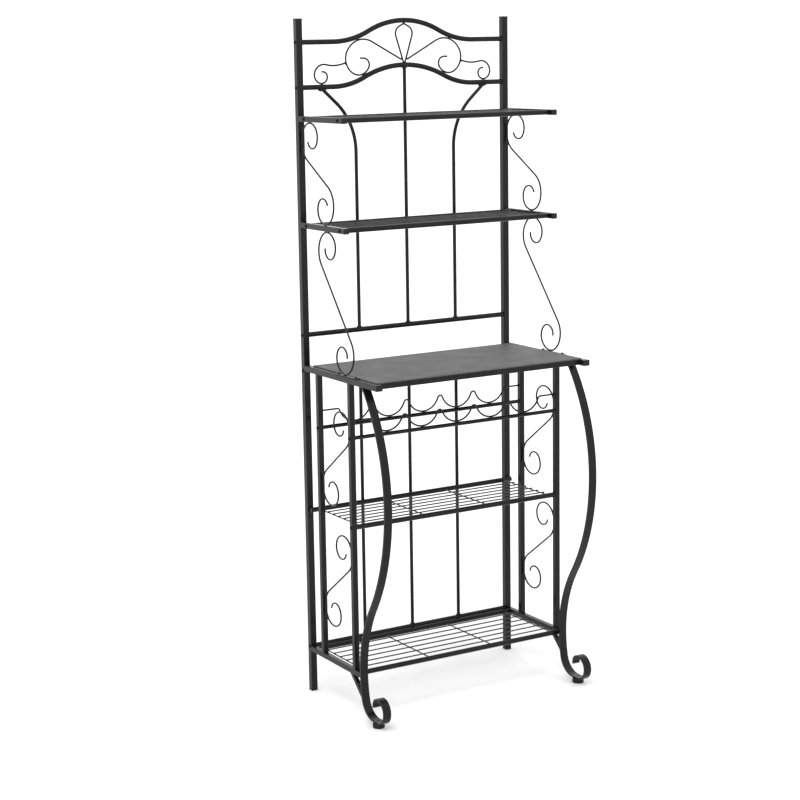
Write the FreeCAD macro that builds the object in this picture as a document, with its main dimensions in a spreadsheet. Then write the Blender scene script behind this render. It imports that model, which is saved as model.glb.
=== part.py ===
import FreeCAD, Part
import math
import os
import Sketcher
from FreeCAD import Placement, Rotation, Vector

# A free-standing steel rack: two rear posts carry an arched back panel, two upper shelves and a
# worktop. Below the worktop are a bottle rack, two wire shelves and two bowed front legs.
# The front faces -Y, up is +Z, and the origin is at the middle of the floor outline.

# Driving sizes in millimetres, unless the name ends in degrees, share or count
SIZES = {
    # Overall box over the bolt heads; only the foot pads stand out a little further
    "overall_width": 635,
    "overall_depth": 406,
    "overall_height": 1727,
    # Tube, bar and wire stock
    "rear_post": 17,
    "lower_post": 14,
    "shelf_bar": 14,
    "table_rail_width": 18,
    "table_rail_height": 15,
    "tube_wall": 1.2,
    "corner_radius": 1.5,
    "rail_diameter": 13,
    "wine_rail_diameter": 10,
    "panel_bar_diameter": 9,
    "scroll_wire": 4.5,
    "shelf_wire": 3.5,
    "brace_bar": 10,
    # Fits shared by all joints
    "weld_gap": 0.1,
    "overrun": 10,
    "thread_plug": 14,
    "plug_head": 3,
    "plug_stem": 15,
    "plug_fit": 0.1,
    "plug_rounding": 0.8,
    # Bolts and screws
    "head_flat_share": 0.5,
    "bolt_diameter": 6,
    "bolt_fit": 0.15,
    "bolt_reach": 26,
    "bolt_head_diameter": 10.5,
    "bolt_head_height": 2.6,
    "bolt_socket": 4,
    "bolt_socket_depth": 1.6,
    "bolt_clearance": 0.4,
    "screw_diameter": 5,
    "screw_reach": 8,
    "screw_head_diameter": 8.6,
    "screw_head_height": 3,
    "screw_slot_width": 1.2,
    "screw_slot_length": 4.8,
    "screw_slot_depth": 1.5,
    # Upper back panel
    "upper_arch_height": 1669,
    "upper_arch_rise": 51,
    "upper_arch_half_span": 208,
    "upper_arch_crest_share": 0.5,
    "lower_arch_height": 1558,
    "lower_arch_rise": 50,
    "lower_arch_half_span": 208,
    "lower_arch_crest_share": 0.57,
    "panel_rail_rise": 76.5,
    "panel_bar_spread": 147,
    "curved_bar_radius": 166.5,
    "curved_bar_turn_degrees": 48,
    "curved_bar_tail": 60,
    # Crest scrollwork; each quarter turn of a curl is tighter than the last by the share
    "curl_share": 0.785,
    "tear_radius": 20,
    "tear_lean_degrees": 18,
    "tear_roof_degrees": 27,
    "tear_point_radius": 5,
    "crest_scroll_lift": 5,
    "crest_scroll_rise_degrees": 28,
    "crest_scroll_straight": 97.68,
    "crest_scroll_radius": 53.27,
    "crest_scroll_turn_degrees": 270,
    "crest_hook_radius": 16.5,
    "crest_hook_turn_degrees": 118,
    "crest_hook_tail": 10,
    "end_scroll_dip_degrees": 20,
    "end_scroll_dip_share": 0.788,
    "end_scroll_dip_turn_degrees": 33.3,
    "end_scroll_curl_share": 0.219,
    "end_scroll_turn_degrees": 393,
    # Upper shelves, measured back to front from the rear faces of the posts
    "top_shelf_height": 1489,
    "second_shelf_height": 1225,
    "shelf_reach": 235,
    "shelf_rear_rail_setback": 43,
    "shelf_front_rail_setback": 212,
    "shelf_wire_count": 5,
    "cross_wire_count": 4,
    "grid_end_margin": 16,
    "wire_sink_share": 0.85,
    # Side scrolls above the worktop
    "upper_scroll_lean_degrees": 30.7,
    "upper_scroll_radius": 52.5,
    "upper_scroll_turn_degrees": 405,
    "tall_scroll_lean_degrees": 51.6,
    "tall_scroll_radius": 52.1,
    "tall_scroll_turn_degrees": 410,
    "tall_scroll_setback": 91.5,
    "scroll_foot_length": 104,
    "scroll_foot_width": 9,
    "scroll_foot_thickness": 2,
    "scroll_foot_setback": 172,
    "scroll_screw_spacing": 84,
    # Worktop
    "table_height": 862,
    "table_reach": 374,
    "table_rear_rail_setback": 49,
    "table_front_rail_setback": 348,
    "panel_thickness": 3,
    "panel_side_margin": 12,
    "panel_rounding": 1,
    # Lower frame
    "mid_post_setback": 72,
    "front_post_setback": 232,
    "bottom_rail_height": 122,
    "lower_panel_rise": 4.5,
    "bottom_rear_rail_setback": 25,
    "bottom_front_rail_setback": 253,
    "bottom_wire_count": 6,
    "mid_shelf_height": 486,
    "mid_shelf_end_margin": 4,
    "mid_wire_count": 6,
    "mid_wire_pitch": 27.5,
    "wine_rail_drop": 151,
    "wave_pitch": 103,
    "wave_depth": 36,
    "wave_count": 5,
    "wave_valley_share": 0.86,
    "side_scroll_lean_degrees": 36,
    "side_scroll_radius": 51,
    "side_scroll_turn_degrees": 405,
    "side_scroll_upper_drop": 220,
    "side_scroll_lower_height": 327,
    # Bowed front legs with their foot scrolls
    "leg_width": 21,
    "leg_thickness": 5,
    "leg_bulge_height": 560,
    "leg_bulge_share": 0.6,
    "leg_waist_setback": 271,
    "leg_waist_height": 122,
    "leg_flat_setback": 328.4,
    "leg_flat_length": 22,
    "foot_scroll_radius": 30,
    "foot_lip_radius": 20,
    "foot_lip_turn_degrees": 105,
    "brace_top_setback": 224,
    "brace_foot_setback": 283,
    "brace_foot_height": 52,
    # Levelling feet
    "pad_diameter": 30,
    "pad_neck_diameter": 28,
    "pad_base_height": 6,
    "pad_height": 12,
    "pad_floor": 2,
    "pad_recess_fit": 1,
    "stud_diameter": 8,
    "stud_fit": 0.05,
    "stud_clearance": 0.3,
    "stud_slot_width": 1.2,
    "stud_slot_depth": 2,
    "nut_width": 13,
    "nut_height": 5,
}

doc = FreeCAD.newDocument("bakers_rack")
sheet = doc.addObject("Spreadsheet::Sheet", "sizes")
for row, (name, number) in enumerate(SIZES.items(), start=1):
    sheet.set(f"A{row}", name)
    sheet.set(f"B{row}", str(number))
    sheet.setAlias(f"B{row}", name)
doc.recompute()

NODES = []
LEFT, RIGHT = -1, 1
CLOCKWISE, ANTICLOCKWISE = -1, 1
SIDES = {"left": LEFT, "right": RIGHT}
QUARTER_TURN = 90
HALF_TURN = 2 * QUARTER_TURN
FULL_TURN = 4 * QUARTER_TURN
SAME_HEIGHT = 1e-6

# Turns of a piece drawn along its own Z: to the right, to the left, forward, to the rear, or over.
# Wires drawn in the XZ plane are turned side on, so that their X runs forward.
UP = Rotation()
ACROSS = Rotation(Vector(0, 1, 0), QUARTER_TURN)
LEFTWARD = Rotation(Vector(0, 1, 0), -QUARTER_TURN)
FORWARD = Rotation(Vector(1, 0, 0), QUARTER_TURN)
BACKWARD = Rotation(Vector(1, 0, 0), -QUARTER_TURN)
UPSIDE_DOWN = Rotation(Vector(1, 0, 0), HALF_TURN)
SIDE_ON = Rotation(Vector(0, 0, 1), -QUARTER_TURN)

# Planes that many pieces share, as formulas on the sheet
REAR_FACE = "(sizes.overall_depth / 2 - sizes.bolt_head_height)"
SIDE_FACE = "(sizes.overall_width / 2 - sizes.bolt_head_height)"
POST_FRONT = f"({REAR_FACE} - sizes.rear_post)"
POST_MIDDLE = f"({REAR_FACE} - sizes.rear_post / 2)"
POST_X = f"({SIDE_FACE} - sizes.rear_post / 2)"
BAR_X = f"({SIDE_FACE} - sizes.shelf_bar / 2)"
LOWER_POST_X = f"({SIDE_FACE} - sizes.lower_post / 2)"
TABLE_RAIL_X = f"({SIDE_FACE} - sizes.table_rail_width / 2)"
LEG_X = f"({SIDE_FACE} - sizes.leg_width / 2)"
POST_SPAN = f"(2 * ({SIDE_FACE} - sizes.rear_post))"
BAR_SPAN = f"(2 * ({SIDE_FACE} - sizes.shelf_bar))"
LOWER_SPAN = f"(2 * ({SIDE_FACE} - sizes.lower_post))"
TABLE_SPAN = f"(2 * ({SIDE_FACE} - sizes.table_rail_width))"
MID_POST_Y = f"({REAR_FACE} - sizes.mid_post_setback - sizes.lower_post / 2)"
MID_POST_FRONT = f"({REAR_FACE} - sizes.mid_post_setback - sizes.lower_post)"
FRONT_POST_Y = f"({REAR_FACE} - sizes.front_post_setback - sizes.lower_post / 2)"
TABLE_UNDERSIDE = "(sizes.table_height - sizes.table_rail_height)"
TABLE_RAIL_Z = "(sizes.table_height - sizes.table_rail_height / 2)"
BOTTOM_RAIL_Z = "(sizes.bottom_rail_height - sizes.lower_post / 2)"
PANEL_RAIL_Z = "(sizes.table_height + sizes.panel_rail_rise)"
WINE_RAIL_Z = "(sizes.table_height - sizes.wine_rail_drop)"
MID_REAR_RAIL_Y = f"({POST_FRONT} - sizes.rail_diameter / 2 - sizes.weld_gap)"
FOOT_Y = f"({REAR_FACE} - sizes.leg_flat_setback - sizes.leg_flat_length / 2)"
BOLT_BORE = "(sizes.bolt_diameter / 2 + sizes.bolt_fit)"
SCREW_BORE = "(sizes.screw_diameter / 2 + sizes.bolt_fit)"
BOLT_SPACING = f"(2 * {BOLT_BORE} + sizes.bolt_clearance)"
LOWER_PANEL_TOP = f"({TABLE_RAIL_Z} - {BOLT_SPACING})"
LOWER_PANEL_BOTTOM = f"({BOTTOM_RAIL_Z} + sizes.lower_panel_rise)"
BOTTOM_BOLT_Z = f"({LOWER_PANEL_BOTTOM} - {BOLT_SPACING})"
RAIL_SADDLE = "(sizes.rail_diameter / 2 + sizes.weld_gap)"
PANEL_BOLT_HEIGHTS = ["sizes.upper_arch_height", "sizes.lower_arch_height", PANEL_RAIL_Z,
                      LOWER_PANEL_TOP, LOWER_PANEL_BOTTOM]
REAR_BOLT_HEIGHTS = ["sizes.top_shelf_height - sizes.shelf_bar / 2",
                     "sizes.second_shelf_height - sizes.shelf_bar / 2",
                     TABLE_RAIL_Z, BOTTOM_BOLT_Z, "sizes.mid_shelf_height"]

# Sections of square tube, and the solid lengths at the two ends of a tube
SQUARE = {name: (f"sizes.{name}", f"sizes.{name}") for name in ("rear_post", "lower_post", "shelf_bar")}
OPEN_ENDS = ("0", "0")
REAR_PLUG = ("sizes.thread_plug", "0")
BOTH_PLUGS = ("sizes.thread_plug", "sizes.thread_plug")


def value(formula):
    """The number that a formula on the sheet gives."""
    return float(sheet.evalExpression(formula))


def setback(name):
    """The Y of a size that is measured forward from the rear faces of the posts."""
    return f"({REAR_FACE} - sizes.{name})"


def middle_height(name):
    """The height of the middle of an upper shelf's side bar."""
    return f"(sizes.{name} - sizes.shelf_bar / 2)"


# Features drawn in sketches and bound to the sheet


def place(node, at, turn=UP):
    """Turns a node, then binds the position of its own origin to three formulas."""
    node.Placement = Placement(Vector(), turn)
    for axis, formula in zip("xyz", at):
        node.setExpression(f"Placement.Base.{axis}", formula)


def new_body(label):
    body = doc.addObject("PartDesign::Body", label)
    body.Label = label
    return body


def keep(node, label):
    """Names a finished node and lists it for export."""
    node.Label = label
    NODES.append(node)
    return node


def new_sketch(body, plane_role, offset=None):
    """A sketch on one of the body's own planes, lifted by a formula where one is given."""
    plane = next(item for item in body.Origin.OriginFeatures if item.Role == plane_role)
    sketch = body.newObject("Sketcher::SketchObject", "outline")
    sketch.AttachmentSupport = [(plane, "")]
    sketch.MapMode = "FlatFace"
    if offset:
        sketch.setExpression("AttachmentOffset.Base.z", offset)
    return sketch


def draw_rectangle(sketch, width, height):
    """A rectangle centred on the sketch's origin."""
    half_width, half_height = value(width) / 2, value(height) / 2
    corners = [Vector(-half_width, -half_height), Vector(half_width, -half_height),
               Vector(half_width, half_height), Vector(-half_width, half_height)]
    for index, corner in enumerate(corners):
        sketch.addGeometry(Part.LineSegment(corner, corners[(index + 1) % 4]))
    for index in range(4):
        sketch.addConstraint(Sketcher.Constraint("Coincident", index, 2, (index + 1) % 4, 1))
    for index in (0, 2):
        sketch.addConstraint(Sketcher.Constraint("Horizontal", index))
    for index in (1, 3):
        sketch.addConstraint(Sketcher.Constraint("Vertical", index))
    sketch.addConstraint(Sketcher.Constraint("Symmetric", 0, 1, 1, 2, -1, 1))
    across = sketch.addConstraint(Sketcher.Constraint("DistanceX", 0, 1, 0, 2, 2 * half_width))
    sketch.setExpression(f"Constraints[{across}]", width)
    upward = sketch.addConstraint(Sketcher.Constraint("DistanceY", 1, 1, 1, 2, 2 * half_height))
    sketch.setExpression(f"Constraints[{upward}]", height)


def draw_circle(sketch, radius, along="0", aside="0"):
    """A circle that lies up the sketch's vertical axis, and aside from it, by two formulas."""
    centre = Vector(value(aside), value(along))
    circle = sketch.addGeometry(Part.Circle(centre, Vector(0, 0, 1), value(radius)))
    rules = ((aside, Sketcher.Constraint("DistanceX", -1, 1, circle, 3, centre.x)),
             (along, Sketcher.Constraint("DistanceY", -1, 1, circle, 3, centre.y)),
             (radius, Sketcher.Constraint("Radius", circle, value(radius))))
    for formula, rule in rules:
        sketch.setExpression(f"Constraints[{sketch.addConstraint(rule)}]", formula)


def draw_section(sketch, section, inset=None):
    """A square section is two formulas, a round one its diameter; the inset is the tube wall."""
    less = f" - 2 * {inset}" if inset else ""
    if len(section) == 2:
        draw_rectangle(sketch, section[0] + less, section[1] + less)
    else:
        draw_circle(sketch, f"({section[0]}{less}) / 2")


def add_pad(body, sketch, length):
    pad = body.newObject("PartDesign::Pad", "pad")
    pad.Profile = sketch
    pad.setExpression("Length", length)
    doc.recompute()
    return pad


def add_pocket(body, sketch, length=None, both_ways=False, toward_normal=True):
    """A cut along the sketch's normal or against it: through all, over a length, or both ways."""
    pocket = body.newObject("PartDesign::Pocket", "pocket")
    pocket.Profile = sketch
    pocket.Reversed = toward_normal
    if both_ways:
        pocket.SideType = "Symmetric"
    if length:
        pocket.setExpression("Length", length)
    else:
        pocket.Type = "ThroughAll"
    doc.recompute()
    return pocket


def round_edges(body, feature, radius, chosen):
    """Rounds the edges of a feature that the test picks."""
    fillet = body.newObject("PartDesign::Fillet", "rounding")
    names = [f"Edge{index}" for index, edge in enumerate(feature.Shape.Edges, start=1) if chosen(edge)]
    fillet.Base = (feature, names)
    fillet.setExpression("Radius", radius)
    doc.recompute()
    return fillet


def runs_lengthwise(edge):
    box = edge.BoundBox
    return box.ZLength > max(box.XLength, box.YLength)


def lies_on_top(top):
    """A test for edges that lie at one height of the body."""
    return lambda edge: max(abs(edge.BoundBox.ZMin - top), abs(edge.BoundBox.ZMax - top)) < SAME_HEIGHT


def stock(label, section, length, plugs=None, holes=(), saddle=None, rounded=True):
    """A length of tube or bar along its own Z, left at the origin.

    plugs holds the solid lengths at both ends of a tube, and None leaves a solid bar. holes lists the
    plane that each row of cross holes is drawn on, its radius and its distances along the bar. saddle
    is the radius that both ends are coped to, over round rails that run along the body's X.
    """
    body = new_body(label)
    outline = new_sketch(body, "XY_Plane")
    draw_section(outline, section)
    pad = add_pad(body, outline, length)
    if rounded and len(section) == 2:
        round_edges(body, pad, "sizes.corner_radius", runs_lengthwise)
    if plugs:
        bore = new_sketch(body, "XY_Plane", plugs[0])
        draw_section(bore, section, "sizes.tube_wall")
        add_pocket(body, bore, f"{length} - {plugs[0]} - {plugs[1]}")
    for plane_role, radius, distances in holes:
        row = new_sketch(body, plane_role)
        for distance in distances:
            draw_circle(row, radius, distance)
        add_pocket(body, row, both_ways=True)
    if saddle:
        ends = new_sketch(body, "YZ_Plane")
        draw_circle(ends, saddle)
        draw_circle(ends, saddle, length)
        add_pocket(body, ends, both_ways=True)
    return body


def bore_ends(body, aside="0", raised="0"):
    """A bolt hole lengthwise through the plugged ends, aside from the axis or raised where the bolt is."""
    bore = new_sketch(body, "XY_Plane")
    draw_circle(bore, BOLT_BORE, raised, aside)
    add_pocket(body, bore)
    return body


def stand(body, at, turn=UP):
    """Sets a finished body in its place as a node of its own."""
    place(body, at, turn)
    return keep(body, body.Label)


def cross_rail(label, span, diameter, y, z):
    """A round rail from side to side, plugged and bored for a bolt at each end."""
    rail = bore_ends(stock(label, (diameter,), span, BOTH_PLUGS))
    return stand(rail, (f"-{span} / 2", y, z), ACROSS)


# Bent wires: moves are straights (length, None) and bends (radius, turn in degrees, left positive)


def bend(start, heading, moves):
    """The path of a bent wire, drawn in the XZ plane from a start point and a heading in degrees."""
    point, angle, edges = Vector(start[0], 0, start[1]), math.radians(heading), []
    for reach, turn in moves:
        ahead = Vector(math.cos(angle), 0, math.sin(angle))
        if turn is None:
            end = point + ahead * reach
            edges.append(Part.LineSegment(point, end).toShape())
        else:
            sweep = math.radians(turn)
            aside = Vector(-ahead.z, 0, ahead.x) * math.copysign(reach, turn)
            centre = point + aside
            turned = [centre - Rotation(Vector(0, -1, 0), math.degrees(part)).multVec(aside)
                      for part in (sweep / 2, sweep)]
            end = turned[1]
            edges.append(Part.Arc(point, turned[0], end).toShape())
            angle += sweep
        point = end
    return Part.Wire(edges)


def curl(radius, turn, way):
    """Bends of a scroll's end, each quarter turn tighter than the last by the curl share."""
    moves = []
    while turn > 0:
        part = min(turn, QUARTER_TURN)
        moves.append((radius, way * part))
        radius *= value("sizes.curl_share")
        turn -= part
    return moves


def round_bar(path, radius):
    """A solid round bar along a path."""
    start = path.OrderedEdges[0]
    rim = Part.Circle(start.valueAt(start.FirstParameter), start.tangentAt(start.FirstParameter), radius)
    return path.makePipe(Part.Face(Part.Wire([rim.toShape()])))


def flat_bar(path, thickness, width):
    """A flat bar along a path, with its width across the path's plane."""
    start = path.OrderedEdges[0]
    middle = start.valueAt(start.FirstParameter)
    ahead = start.tangentAt(start.FirstParameter)
    through = Vector(-ahead.z, 0, ahead.x) * (thickness / 2)
    across = Vector(0, width / 2, 0)
    corners = [middle - through - across, middle + through - across,
               middle + through + across, middle - through + across]
    return path.makePipe(Part.Face(Part.makePolygon(corners + corners[:1])))


def placed(shape, at, turn=UP):
    """A copy of a shape, turned and set at three formulas."""
    copy = shape.copy()
    copy.Placement = Placement(Vector(*(value(formula) for formula in at)), turn)
    return copy


def shaped_node(label, shape, at=("0", "0", "0"), turn=UP):
    """A node whose shape follows a bent path, set in code from the sheet's sizes."""
    node = doc.addObject("Part::Feature", label)
    node.Shape = shape
    node.Placement = Placement(Vector(*(value(formula) for formula in at)), turn)
    return keep(node, label)


def group(label, shape, spots, turn=UP):
    """A node of separate, identical pieces, one at each spot."""
    return shaped_node(label, Part.Compound([placed(shape, at, turn) for at in spots]))


def both_sides(x, y, z):
    """The spots of a piece that stands on the left and on the right."""
    return [(f"{sign} * {x}", y, z) for sign in SIDES.values()]


def s_bend(rise, run, first_share):
    """Two tangent arcs that rise and level off: the radii of the first and second, and their turn."""
    total = (rise ** 2 + run ** 2) / (2 * rise)
    return first_share * total, (1 - first_share) * total, math.degrees(math.asin(run / total))


# Rear posts with their end plugs


def post_plug():
    """A plastic plug: a square head over the tube's end and a stem inside it."""
    body = new_body("post_plug")
    head = new_sketch(body, "XY_Plane")
    draw_section(head, SQUARE["rear_post"])
    pad = add_pad(body, head, "sizes.plug_head")
    round_edges(body, pad, "sizes.plug_rounding", lies_on_top(0))
    stem = new_sketch(body, "XY_Plane", "sizes.plug_head")
    draw_section(stem, SQUARE["rear_post"], "(sizes.tube_wall + sizes.plug_fit)")
    add_pad(body, stem, "sizes.plug_stem")
    return body.Shape


def build_rear_posts():
    length = "(sizes.overall_height - 2 * sizes.plug_head)"
    from_plug = " - sizes.plug_head"
    holes = (("YZ_Plane", BOLT_BORE, [height + from_plug for height in PANEL_BOLT_HEIGHTS]),
             ("XZ_Plane", BOLT_BORE, [height + from_plug for height in REAR_BOLT_HEIGHTS]))
    for side, sign in SIDES.items():
        post = stock(f"{side}_rear_post", SQUARE["rear_post"], length, OPEN_ENDS, holes)
        stand(post, (f"{sign} * {POST_X}", POST_MIDDLE, "sizes.plug_head"))
    plug = post_plug()
    floor_spots = both_sides(POST_X, POST_MIDDLE, "0")
    top_spots = both_sides(POST_X, POST_MIDDLE, "sizes.overall_height")
    plugs = [placed(plug, at) for at in floor_spots] + [placed(plug, at, UPSIDE_DOWN) for at in top_spots]
    shaped_node("rear_post_plugs", Part.Compound(plugs))


# Upper back panel


def arch_path(name, inset=0):
    """The path of an arched rail between the rear posts, shortened at both ends by an inset."""
    half_span = value(f"sizes.{name}_half_span")
    crest, foot, turn = s_bend(value(f"sizes.{name}_rise"), half_span, value(f"sizes.{name}_crest_share"))
    straight = value(f"{POST_SPAN} / 2") - half_span - inset
    start = (-half_span - straight, value(f"sizes.{name}_height"))
    moves = [(straight, None), (foot, turn), (crest, -2 * turn), (foot, turn), (straight, None)]
    return bend(start, 0, moves)


def arched_rail(name):
    """A bent tube whose ends are plugged and bored for the bolts through the posts."""
    radius = value("sizes.rail_diameter / 2")
    hollow_path = arch_path(name, value("sizes.thread_plug"))
    hollow = round_bar(hollow_path, radius - value("sizes.tube_wall"))
    bore = Part.makeCylinder(value(BOLT_BORE), value("sizes.thread_plug + sizes.overrun"))
    end = f"{POST_SPAN} / 2"
    height = f"sizes.{name}_height"
    right_bore = placed(bore, (end, "0", height), LEFTWARD)
    left_bore = placed(bore, (f"-{end}", "0", height), ACROSS)
    return round_bar(arch_path(name), radius).cut([hollow, right_bore, left_bore])


def arch_clearance(name):
    """The space that welded wires leave for an arched rail."""
    return round_bar(arch_path(name), value(RAIL_SADDLE))


def curved_bar(sign):
    """A bar that rises straight from the lower rail, bends out and runs on up to the lower arch."""
    radius, tail = value("sizes.curved_bar_radius"), value("sizes.curved_bar_tail")
    turn = value("sizes.curved_bar_turn_degrees")
    bottom = value(PANEL_RAIL_Z)
    bent = radius * math.sin(math.radians(turn)) + tail * math.cos(math.radians(turn))
    straight = value("sizes.lower_arch_height") - bottom - bent
    path = bend((sign * value("sizes.panel_bar_spread"), bottom), QUARTER_TURN,
                [(straight, None), (radius, -sign * turn), (tail, None)])
    lower_rail = Part.makeCylinder(value(RAIL_SADDLE), value(POST_SPAN))
    lower_rail = placed(lower_rail, (f"-{POST_SPAN} / 2", "0", PANEL_RAIL_Z), ACROSS)
    bar = round_bar(path, value("sizes.panel_bar_diameter / 2"))
    return largest(bar.cut([lower_rail, arch_clearance("lower_arch")]))


def largest(shape):
    """The biggest piece that a cut leaves."""
    return max(shape.Solids, key=lambda solid: solid.Volume)


def tear_foot():
    """Where the right leg of the teardrop stands on the lower crest: its x and z."""
    crest_top = value(f"sizes.lower_arch_height + sizes.lower_arch_rise + {RAIL_SADDLE}")
    return value("sizes.scroll_wire / 2 + sizes.weld_gap"), crest_top


def teardrop():
    """A wire loop: two legs lean out from the lower crest and bend over to a point under the upper crest."""
    wire = value("sizes.scroll_wire / 2")
    radius, point = value("sizes.tear_radius"), value("sizes.tear_point_radius")
    lean_degrees, roof_degrees = value("sizes.tear_lean_degrees"), value("sizes.tear_roof_degrees")
    lean, roof = math.radians(lean_degrees), math.radians(roof_degrees)
    foot, bottom = tear_foot()
    top = value(f"sizes.upper_arch_height + sizes.upper_arch_rise - {RAIL_SADDLE}") - wire
    # What the bends leave across and upward for a leg and the straight above it
    across = radius * (math.cos(lean) - math.sin(roof)) + point * math.sin(roof) - foot
    upward = top - bottom - radius * (math.cos(roof) + math.sin(lean)) - point * (1 - math.cos(roof))
    leg = (across * math.sin(roof) + upward * math.cos(roof)) / math.cos(lean - roof)
    slope = (upward * math.sin(lean) - across * math.cos(lean)) / math.cos(lean - roof)
    shoulder = (radius, roof_degrees - lean_degrees - QUARTER_TURN)
    rising = [(leg, None), shoulder, (slope, None)]
    moves = rising + [(point, -2 * roof_degrees)] + rising[::-1]
    path = bend((-foot, bottom), QUARTER_TURN + lean_degrees, moves)
    return largest(round_bar(path, wire).cut(arch_clearance("lower_arch")))


def crest_scroll_path():
    """The right crest scroll: it rises from the teardrop's leg and curls round between the two arches."""
    heading = value("sizes.crest_scroll_rise_degrees")
    lean, rise = math.radians(value("sizes.tear_lean_degrees")), math.radians(heading)
    wire = value("sizes.scroll_wire / 2")
    foot, bottom = tear_foot()
    height = value("sizes.crest_scroll_lift") + wire
    corner = height + wire * math.cos(rise)
    beside_leg = (wire + value("sizes.weld_gap") + corner * math.sin(lean)) / math.cos(lean)
    start = (foot + beside_leg + wire * math.sin(rise), bottom + height)
    straight = (value("sizes.crest_scroll_straight"), None)
    curls = curl(value("sizes.crest_scroll_radius"), value("sizes.crest_scroll_turn_degrees"), CLOCKWISE)
    hook = [(value("sizes.crest_hook_radius"), CLOCKWISE * value("sizes.crest_hook_turn_degrees")),
            (value("sizes.crest_hook_tail"), None)]
    return bend(start, heading, [straight] + curls + hook)


def end_scroll_path(crest_path):
    """The right end scroll: it leaves the crest scroll, dips, and curls down onto the lower arch."""
    wire, weld_gap = value("sizes.scroll_wire / 2"), value("sizes.weld_gap")
    outside = crest_path.BoundBox.XMax + wire + weld_gap
    space = value(f"{POST_SPAN} / 2") - outside
    dip = (space * value("sizes.end_scroll_dip_share"), value("sizes.end_scroll_dip_turn_degrees"))
    curl_radius = space * value("sizes.end_scroll_curl_share")
    curls = curl(curl_radius, value("sizes.end_scroll_turn_degrees"), CLOCKWISE)
    path = bend((outside, 0), -value("sizes.end_scroll_dip_degrees"), [dip] + curls)
    seat = value(f"sizes.lower_arch_height + {RAIL_SADDLE}") + wire
    path.translate(Vector(0, 0, seat - path.BoundBox.ZMin))
    gap = round_bar(path, wire).distToShape(round_bar(crest_path, wire))[0]
    path.translate(Vector(weld_gap - gap, 0, 0))
    return path


def mirrored_pair(label, path):
    """A wire at the right of the back panel, and the same wire turned over at the left."""
    right = round_bar(path, value("sizes.scroll_wire / 2"))
    left = right.copy()
    left.rotate(Vector(), Vector(0, 0, 1), HALF_TURN)
    shaped_node(label, Part.Compound([left, right]), ("0", POST_MIDDLE, "0"))


def build_upper_panel():
    at = ("0", POST_MIDDLE, "0")
    shaped_node("upper_arch_rail", arched_rail("upper_arch"), at)
    shaped_node("lower_arch_rail", arched_rail("lower_arch"), at)
    cross_rail("panel_lower_rail", POST_SPAN, "sizes.rail_diameter", POST_MIDDLE, PANEL_RAIL_Z)
    rise = f"(sizes.lower_arch_height + sizes.lower_arch_rise - {PANEL_RAIL_Z})"
    center_bar = stock("panel_center_bar", ("sizes.panel_bar_diameter",), rise, saddle=RAIL_SADDLE)
    stand(center_bar, ("0", POST_MIDDLE, PANEL_RAIL_Z))
    for side, sign in SIDES.items():
        shaped_node(f"{side}_curved_bar", curved_bar(sign), at)
    shaped_node("crest_teardrop", teardrop(), at)
    crest_path = crest_scroll_path()
    mirrored_pair("crest_scrolls", crest_path)
    mirrored_pair("crest_end_scrolls", end_scroll_path(crest_path))


# Shelves


def end_cap(label, width, height):
    """A plastic cap: a head over the open end of a square tube and a stem inside it."""
    body = new_body(label)
    head = new_sketch(body, "XY_Plane")
    draw_rectangle(head, width, height)
    pad = add_pad(body, head, "sizes.plug_head")
    round_edges(body, pad, "sizes.plug_rounding", lies_on_top(value("sizes.plug_head")))
    stem = new_sketch(body, "XY_Plane")
    inset = "2 * (sizes.tube_wall + sizes.plug_fit)"
    draw_rectangle(stem, f"{width} - {inset}", f"{height} - {inset}")
    stem_pad = add_pad(body, stem, "sizes.plug_stem")
    stem_pad.Reversed = True
    doc.recompute()
    return body.Shape


def wire_grid(label, span, rear, front, height, rows):
    """Cross wires spaced evenly between two rails, with lengthwise wires welded on top of them."""
    half_length = f"({span} / 2 - sizes.grid_end_margin)"
    rear_end = f"({rear} - {RAIL_SADDLE})"
    wires = []
    for index in range(int(value("sizes.cross_wire_count"))):
        cross = doc.addObject("Part::Cylinder", f"{label}_cross")
        cross.setExpression("Height", f"{rear_end} - {front} - {RAIL_SADDLE}")
        x = f"(2 * {index} / (sizes.cross_wire_count - 1) - 1) * {half_length}"
        place(cross, (x, rear_end, height), FORWARD)
        wires.append(cross)
    for row in rows:
        along = doc.addObject("Part::Cylinder", f"{label}_wire")
        along.setExpression("Height", f"2 * ({half_length} + sizes.shelf_wire)")
        raised = f"{height} + sizes.shelf_wire * sizes.wire_sink_share"
        place(along, (f"-({half_length} + sizes.shelf_wire)", row, raised), ACROSS)
        wires.append(along)
    for wire in wires:
        wire.setExpression("Radius", "sizes.shelf_wire / 2")
    grid = doc.addObject("Part::MultiFuse", label)
    grid.Shapes = wires
    return keep(grid, label)


def even_rows(rear, front, count_name):
    """Y formulas of wires spaced evenly between two rails."""
    rows = range(1, int(value(f"sizes.{count_name}")) + 1)
    return [f"({rear} + ({front} - {rear}) * {row} / (sizes.{count_name} + 1))" for row in rows]


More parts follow.
